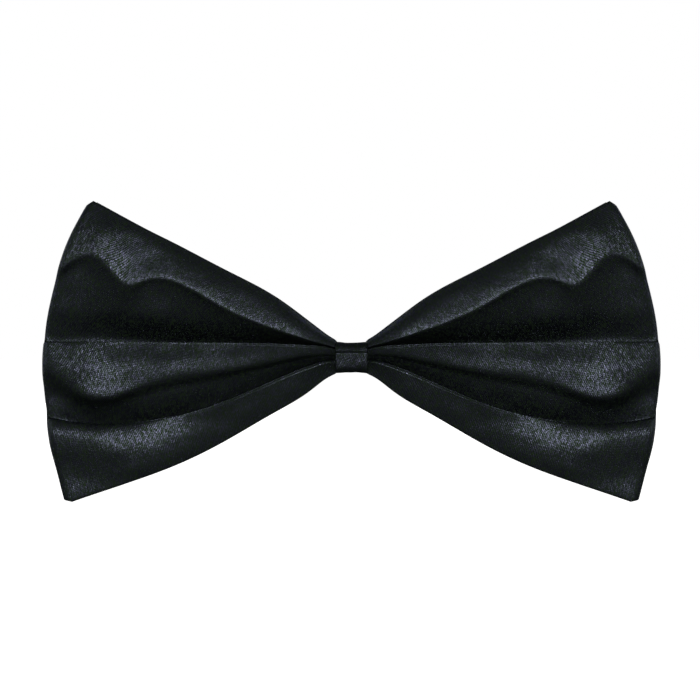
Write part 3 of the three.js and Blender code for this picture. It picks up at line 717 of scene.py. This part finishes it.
class BOWTIE_OT_bow(bpy.types.Operator):
    """Build the satin loop with its pleats, and the interlining inside it"""
    bl_idname = "bowtie.bow"
    bl_label = "Bow"

    def execute(self, context):
        sizes, finish = context.scene.bow_sizes, context.scene.satin_finish
        points, uv = BowShape(sizes, sizes.panel_stations, sizes.fold_stations).loop()
        away_from_knot = smoothstep(*THINNING_ENDS, np.abs(points[..., 0]).mean(1))
        thickness = GATHERED_THICKNESS + (sizes.cloth_thickness - GATHERED_THICKNESS) * away_from_knot
        bow = self.add_strip("bow_cloth", points, uv, thickness, satin_material("black_satin", finish))
        finish_piece(bow, "bow", "satin", "bow_satin")
        normals = grid_normals(points)
        inner = kept_behind(points - normals * thickness[:, None, None] * STIFFENER_DEPTH, points, normals)
        part = (slice(None, None, 2), slice(STIFFENER_SHORT_BY, -STIFFENER_SHORT_BY))
        thin = np.full(len(inner[part]), STIFFENER_THICKNESS)
        stiffener = self.add_strip("bow_stiffener", inner[part], uv[part], thin, interlining_material())
        finish_piece(stiffener, "bow", "interlining", "bow_interlining")
        return {"FINISHED"}

    def add_strip(self, name, points, uv, thickness, material):
        rings, uvs = thick_strip(points, uv, thickness)
        mesh = mesh_from_grid(name, rings, True, uvs, caps=True)
        face_outwards(mesh)
        return add_object(name, mesh, material)


# --------------------------------------
# The knot


def knot_outline(count, squareness=5):
    """Points round the wrap's outer face in the Y-Z plane, from the back's middle over the top."""
    low, high = KNOT_LOW, KNOT_HIGH
    back = high.y - KNOT_LAP_ROOM
    mid_y, mid_z = (low.y + back) / 2, (low.z + high.z) / 2
    half_y, half_z = (back - low.y) / 2, (high.z - low.z) / 2
    angle = np.linspace(0, 2 * math.pi, count, endpoint=False)
    power = 2 / squareness
    y = mid_y + half_y * np.sign(np.cos(angle)) * np.abs(np.cos(angle)) ** power
    z = mid_z + half_z * np.sign(np.sin(angle)) * np.abs(np.sin(angle)) ** power
    return np.stack([y, z], -1)


def folded_strip_profile(half, wall, ply, turn_end):
    """Section of a strip with its raw edges turned in behind: places across it, depths below its face."""
    bend = wall / 2
    arc = np.linspace(0, math.pi, 7)
    face = np.linspace(-1, 1, 19) * (half - bend)
    right = [(half - bend + bend * math.sin(a), bend - bend * math.cos(a)) for a in arc[1:]]
    right += [(x, wall) for x in np.linspace(half - bend, turn_end, 6)[1:]]
    right += [(x, wall - ply) for x in np.linspace(turn_end, half - bend, 6)]
    under = [(x, ply) for x in np.linspace(half - bend, 0, 7)[:-1]]
    left = [(-x, d) for x, d in reversed(right + under)]
    return np.array([(x, 0) for x in face] + right + under + [(0, ply)] + left)


class BOWTIE_OT_knot(bpy.types.Operator):
    """Wrap the satin strip round the waist and lap it behind"""
    bl_idname = "bowtie.knot"
    bl_label = "Knot"

    def execute(self, context):
        finish = context.scene.satin_finish
        half_width = (KNOT_HIGH.x - KNOT_LOW.x) / 2
        profile = folded_strip_profile(half_width, KNOT_WALL, KNOT_PLY, turn_end=0.4 * MM)
        y, z, normal_y, normal_z, length = self.route().T
        x, deep = profile.T
        waist = 0.2 * MM * (1 - (x / half_width) ** 2)
        creases = 0.03 * MM * bumps(*np.broadcast_arrays(x / MM, length[:, None] / MM), 31, 3.0)
        inward = deep[None, :] + waist[None, :] * np.abs(normal_z)[:, None] - creases
        ring = np.stack([np.broadcast_to(x, inward.shape), y[:, None] - normal_y[:, None] * inward,
                         z[:, None] - normal_z[:, None] * inward], -1)
        along = running(np.hypot(*np.diff(profile, axis=0).T))
        uv = np.stack(np.broadcast_arrays(along[None, :], length[:, None]), -1)
        mesh = mesh_from_grid("knot_band", ring, True, uv, caps=True)
        face_outwards(mesh)
        # Painted shade: the knot's satin is the bow's cloth at 0.62 of its colours, darkening its flat front
        # that faces the light
        band = add_object("knot_band", mesh, satin_material("knot_satin_painted_darker", finish, 0.62))
        finish_piece(band, "bow", "satin", "knot_wrap")
        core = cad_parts["knot_interlining"]
        core.data.materials.clear()
        core.data.materials.append(interlining_material())
        return {"FINISHED"}

    def route(self, around=240):
        """Y, Z, normal and length along the strip: once round from its hidden end, then up over it behind."""
        outline = knot_outline(around)
        back = outline[:, 0] > outline[:, 0].mean()
        start = int(np.argmin(np.where(back, np.abs(outline[:, 1] + 1.2 * MM), 1)))
        end = int(np.argmin(np.where(back, np.abs(outline[:, 1] - 1.0 * MM), 1)))
        turns = np.arange(start - around, around + end + 1)
        points = outline[turns % around]
        step = np.roll(outline, -1, 0) - np.roll(outline, 1, 0)
        normals = unit(np.stack([step[:, 1], -step[:, 0]], -1))[turns % around]
        second = smoothstep(start - 0.14 * around, start - 0.03 * around, turns)
        front = smoothstep(0, -2.2 * MM, points[:, 0] - outline[:, 0].mean())
        fold_z = KNOT_LOW.z + (KNOT_HIGH.z - KNOT_LOW.z) * KNOT_FOLD
        upper = smoothstep(fold_z - 0.09 * MM, fold_z + 0.1 * MM, points[:, 1])
        lean = np.clip(1.08 * (points[:, 1] - KNOT_LOW.z) / (fold_z - KNOT_LOW.z), 0, 1)
        slope = np.clip((KNOT_HIGH.z - points[:, 1]) / (KNOT_HIGH.z - fold_z), 0, 1)
        lift = KNOT_LAP * second + front * MM * (0.8 * lean * (1 - upper) + 0.45 * slope * upper)
        points = points + normals * lift[:, None]
        length = running(np.linalg.norm(np.diff(points, axis=0), axis=1))
        return np.column_stack([points, normals, length])


# --------------------------------------
# Threads


def stitch_mesh():
    """One hand stitch: a bowed thread whose two ends dive into the cloth, along Z."""
    sides, steps = 8, 10
    length, rise, radius = 1.7 * MM, 0.2 * MM, 0.15 * MM
    rings = []
    for t in np.linspace(0, 1, steps):
        bow = rise * math.sin(math.pi * t) - 0.12 * MM * math.cos(2 * math.pi * t)
        centre = np.array([0, bow, length * (t - 0.5)])
        thick = radius * (0.55 + 0.45 * math.sin(math.pi * t))
        twist = 3.0 * t
        angles = np.linspace(0, 2 * math.pi, sides, endpoint=False) + twist
        bulge = 1 + 0.16 * np.cos(2 * (angles - twist))
        rings.append(centre + np.stack([thick * bulge * np.cos(angles), thick * bulge * np.sin(angles),
                                        np.zeros(sides)], -1))
    mesh = mesh_from_grid("one_stitch", np.array(rings), True, caps=True)
    face_outwards(mesh)
    return mesh


def row_of_copies_tree(name, material):
    """Geometry nodes that set copies of an object along a line and make them one mesh."""
    tree = bpy.data.node_groups.new(name, "GeometryNodeTree")
    ask = tree.interface.new_socket
    ask("Geometry", in_out="OUTPUT", socket_type="NodeSocketGeometry")
    kinds = {"Piece": "Object", "Count": "Int", "Start": "Vector", "End": "Vector", "Tilt": "Float"}
    sockets = {label: ask(label, in_out="INPUT", socket_type="NodeSocket" + kind)
               for label, kind in kinds.items()}
    n = NodeTree(tree)
    given = n.add("NodeGroupInput").outputs
    line = n.add("GeometryNodeMeshLine", {"Count": given["Count"], "Start Location": given["Start"],
                                          "Offset": given["End"]}, mode="END_POINTS")
    piece = n.add("GeometryNodeObjectInfo", {"Object": given["Piece"]})
    random = n.add("FunctionNodeRandomValue", {"Seed": 5}, data_type="FLOAT")
    angle = n.math("MULTIPLY", n.math("SUBTRACT", random.outputs[1], 0.5), given["Tilt"])
    turn = n.add("ShaderNodeCombineXYZ", {"Y": angle})
    copies = n.add("GeometryNodeInstanceOnPoints", {"Points": line.outputs[0],
                                                    "Instance": piece.outputs["Geometry"],
                                                    "Rotation": turn.outputs[0]})
    real = n.add("GeometryNodeRealizeInstances", {"Geometry": copies.outputs[0]})
    dressed = n.add("GeometryNodeSetMaterial", {"Geometry": real.outputs[0], "Material": material})
    out = n.add("NodeGroupOutput")
    tree.links.new(dressed.outputs[0], out.inputs["Geometry"])
    return tree, {label: socket.identifier for label, socket in sockets.items()}


def made_by_nodes(name, tree, values):
    """Runs a geometry nodes tree on an empty mesh and keeps the result as a plain mesh."""
    carrier = place_object(name + "_carrier", bpy.data.meshes.new(name + "_carrier"))
    modifier = carrier.modifiers.new("copies", "NODES")
    modifier.node_group = tree
    for identifier, value in values.items():
        modifier[identifier] = value
    ready = carrier.evaluated_get(bpy.context.evaluated_depsgraph_get())
    mesh = bpy.data.meshes.new_from_object(ready)
    bpy.data.objects.remove(carrier)
    mesh.name = name
    mesh.shade_smooth()
    return place_object(name, mesh)


class BOWTIE_OT_threads(bpy.types.Operator):
    """Lay the stitches that close the wrap's lap, and dress the gathering thread"""
    bl_idname = "bowtie.threads"
    bl_label = "Threads"

    def execute(self, context):
        thread = thread_material()
        names = sorted(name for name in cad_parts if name.startswith("closing_stitch"))
        centres = [(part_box(name)[0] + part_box(name)[1]) / 2 for name in names]
        tree, ids = row_of_copies_tree("row_of_stitches", thread)
        one = place_object("one_stitch", stitch_mesh())
        lower = Vector((0, -0.28 * MM, 0))
        stitches = made_by_nodes("closing_stitches", tree, {
            ids["Piece"]: one, ids["Count"]: len(names), ids["Start"]: centres[0] + lower,
            ids["End"]: centres[-1] + lower, ids["Tilt"]: 0.5})
        bpy.data.objects.remove(one)
        finish_piece(stitches, "bow", "thread", *names)
        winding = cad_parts["gathering_thread"]
        winding.data.materials.clear()
        winding.data.materials.append(thread)
        return {"FINISHED"}


# --------------------------------------
# The collar clip


def rounded_copy(node, bevel, material):
    """A copy of a CAD node with its loose triangles joined and its edges rounded."""
    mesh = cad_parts[node].data.copy()
    mesh.materials.clear()
    work = bmesh.new()
    work.from_mesh(mesh)
    bmesh.ops.remove_doubles(work, verts=work.verts, dist=1e-6)
    bmesh.ops.dissolve_limit(work, angle_limit=math.radians(1), verts=work.verts, edges=work.edges)
    work.to_mesh(mesh)
    work.free()
    obj = add_object("pressed_" + node, mesh, material)
    modifier = obj.modifiers.new("rounded_edges", "BEVEL")
    modifier.width = bevel
    modifier.segments = 2
    modifier.limit_method = "ANGLE"
    modifier.angle_limit = math.radians(32)
    modifier.harden_normals = True
    ready = obj.evaluated_get(bpy.context.evaluated_depsgraph_get())
    rounded = bpy.data.meshes.new_from_object(ready)
    obj.modifiers.clear()
    obj.data = rounded
    return obj


def spring_path(side, pin_x, pin_y, low_y, coil_radius):
    """Centre line of a torsion spring: a leg on the plate, the coil, and a leg under the finger tab."""
    turns, pitch, leg, lift = 3.5, 0.62 * MM, 5.0 * MM, 0.2
    half = pitch * turns / 2
    points = [(pin_x - leg, low_y, -half), (pin_x - leg * 0.5, low_y + 0.12 * MM, -half)]
    end_angle = -math.pi / 2 + 2 * math.pi * turns - lift
    for t in np.linspace(0, 1, 85):
        a = -math.pi / 2 + (end_angle + math.pi / 2) * t
        points.append((pin_x + coil_radius * math.cos(a), pin_y + coil_radius * math.sin(a),
                       -half + 2 * half * t))
    last = np.array(points[-1])
    heading = np.array([-math.cos(lift), math.sin(lift), 0])
    points += [tuple(last + heading * leg * 0.5), tuple(last + heading * leg)]
    return np.array(points) * [side, 1, 1]


def swept_wire(name, path, radius, sides=10):
    """A round wire along a path, with closed ends."""
    t = unit(np.gradient(path, axis=0))
    side = unit(np.cross(t, [0, 0, 1.0]))
    up = np.cross(side, t)
    angles = np.linspace(0, 2 * math.pi, sides, endpoint=False)
    rings = (path[:, None] + radius * (np.cos(angles)[None, :, None] * side[:, None]
                                       + np.sin(angles)[None, :, None] * up[:, None]))
    mesh = mesh_from_grid(name, rings, True, caps=True)
    face_outwards(mesh)
    return mesh


class BOWTIE_OT_clip(bpy.types.Operator):
    """Build the collar clip: pressed plate and jaws, pins and torsion springs"""
    bl_idname = "bowtie.clip"
    bl_label = "Collar clip"

    def execute(self, context):
        finish = context.scene.clip_finish
        nickel = plated_material("nickel_plating", finish.colour, 0.24, 5200.0)
        wire = plated_material("spring_wire", (0.48, 0.48, 0.5), 0.3, 9000.0)
        plate = rounded_copy("clip_plate", finish.edge_bevel, nickel)
        finish_piece(plate, "bow", "plated_steel", "clip_plate")
        for side, body in (("right", "jaw_right"), ("left", "jaw_left")):
            jaw = rounded_copy("clip_jaw_" + side, finish.edge_bevel, nickel)
            finish_piece(jaw, body, "plated_steel", "clip_jaw_" + side)
            pin = rounded_copy("clip_pin_" + side, finish.edge_bevel / 2, nickel)
            finish_piece(pin, "bow", "plated_steel", "clip_pin_" + side)
            self.add_spring(side, body, wire)
        return {"FINISHED"}

    def add_spring(self, side, body, wire):
        node = "clip_spring_" + side
        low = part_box(node)[0]
        pin_low, pin_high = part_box("clip_pin_" + side)
        sign = 1 if side == "right" else -1
        pin = (pin_low + pin_high) / 2
        radius, coil = 0.25 * MM, 1.05 * MM
        path = spring_path(sign, abs(pin.x), pin.y, low.y + radius, coil)
        spring = add_object("coiled_" + node, swept_wire("coiled_" + node, path, radius), wire)
        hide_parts(node)
        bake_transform(spring)


# --------------------------------------
# The stage


class BOWTIE_OT_stage(bpy.types.Operator):
    """Set the pale floor, the soft lights and the camera"""
    bl_idname = "bowtie.stage"
    bl_label = "Stage"

    def execute(self, context):
        settings = context.scene.stage_settings
        self.add_floor()
        self.light_world(context.scene)
        self.add_softbox("front_softbox", (0.0, -0.62, 0.03), 0.1, settings.key_power)
        self.add_softbox("top_softbox", (0.0, 0.42, 0.6), 0.5, settings.fill_power * 0.3)
        for side, x in (("left", -1), ("right", 1)):
            self.add_softbox(side + "_rear_softbox", (0.4 * x, 0.62, 0.14), 0.6, settings.fill_power * 1.6)
            self.add_softbox(side + "_softbox", (0.75 * x, -0.05, 0.12), 0.4, settings.fill_power * 0.6)
        self.add_camera(context.scene, settings.camera_distance)
        context.scene.view_settings.view_transform = "Standard"
        return {"FINISHED"}

    def add_floor(self):
        size, drop = 6.0, 0.4 * MM
        z = min(CAD_BOX[0][2], LOWEST_CLOTH) - drop
        corners = [(-size, -size, z), (size, -size, z), (size, size, z), (-size, size, z)]
        mesh = bpy.data.meshes.new("floor")
        mesh.from_pydata(corners, [], [(0, 1, 2, 3)])
        material, n, shader = new_material("pale_floor")
        n.feed(shader, {"Base Color": (0.9, 0.9, 0.9, 1), "Roughness": 0.9,
                        "Emission Color": (1, 1, 1, 1), "Emission Strength": 1.0})
        floor = add_object("floor", mesh, material, smooth=False)
        floor.visible_diffuse = False
        floor.visible_glossy = False

    def light_world(self, scene):
        """White where the camera sees it, and a faint even light everywhere else."""
        world = bpy.data.worlds.new("white_room")
        world.use_nodes = True
        n = NodeTree(world.node_tree)
        background = world.node_tree.nodes["Background"]
        seen = n.add("ShaderNodeLightPath").outputs["Is Camera Ray"]
        tint = n.add("ShaderNodeMix", {0: seen, 6: (0.95, 1.0, 0.88, 1), 7: (1, 1, 1, 1)}, data_type="RGBA")
        n.feed(background, {"Color": tint.outputs[2], "Strength": n.remap(seen, 0.0, 1.0, 0.06, 1.0)})
        scene.world = world

    def add_softbox(self, name, place, size, power):
        light = bpy.data.lights.new(name, "AREA")
        light.shape = "SQUARE"
        light.size = size
        light.energy = power
        box = place_object(name, light)
        box.location = place
        box.rotation_euler = (-Vector(place)).to_track_quat("-Z", "Y").to_euler()

    def add_camera(self, scene, distance):
        camera = bpy.data.cameras.new("camera")
        camera.lens = 100
        camera.sensor_width = 36
        camera.clip_start = 0.01
        holder = place_object("camera", camera)
        sideways, knot_front, up = -0.0003, -0.0062, 0.0016
        holder.location = (sideways, knot_front - distance, up)
        holder.rotation_euler = (math.radians(90), 0, 0)
        scene.camera = holder


class BOWTIE_PT_panel(bpy.types.Panel):
    """Sizes, finishes and build steps of the bow tie"""
    bl_label = "Bow Tie"
    bl_idname = "BOWTIE_PT_panel"
    bl_space_type = "VIEW_3D"
    bl_region_type = "UI"
    bl_category = "Bow Tie"

    def draw(self, context):
        for group in (context.scene.bow_sizes, context.scene.satin_finish,
                      context.scene.clip_finish, context.scene.stage_settings):
            box = self.layout.box()
            for name in group.__annotations__:
                box.prop(group, name)
        for step in BUILD_STEPS:
            self.layout.operator(step.bl_idname)


SETTINGS = {"bow_sizes": BowSizes, "satin_finish": SatinFinish, "clip_finish": ClipFinish,
            "stage_settings": StageSettings}
BUILD_STEPS = (BOWTIE_OT_stage, BOWTIE_OT_bow, BOWTIE_OT_knot, BOWTIE_OT_threads, BOWTIE_OT_clip)
CLASSES = tuple(SETTINGS.values()) + BUILD_STEPS + (BOWTIE_PT_panel,)


def register():
    for cls in CLASSES:
        bpy.utils.register_class(cls)
    for name, group in SETTINGS.items():
        setattr(bpy.types.Scene, name, bpy.props.PointerProperty(type=group))


def unregister():
    for name in SETTINGS:
        delattr(bpy.types.Scene, name)
    for cls in reversed(CLASSES):
        bpy.utils.unregister_class(cls)


def main():
    register()
    bpy.ops.bowtie.stage()
    bpy.ops.bowtie.bow()
    bpy.ops.bowtie.knot()
    bpy.ops.bowtie.threads()
    bpy.ops.bowtie.clip()


if __name__ == "__main__":
    main()
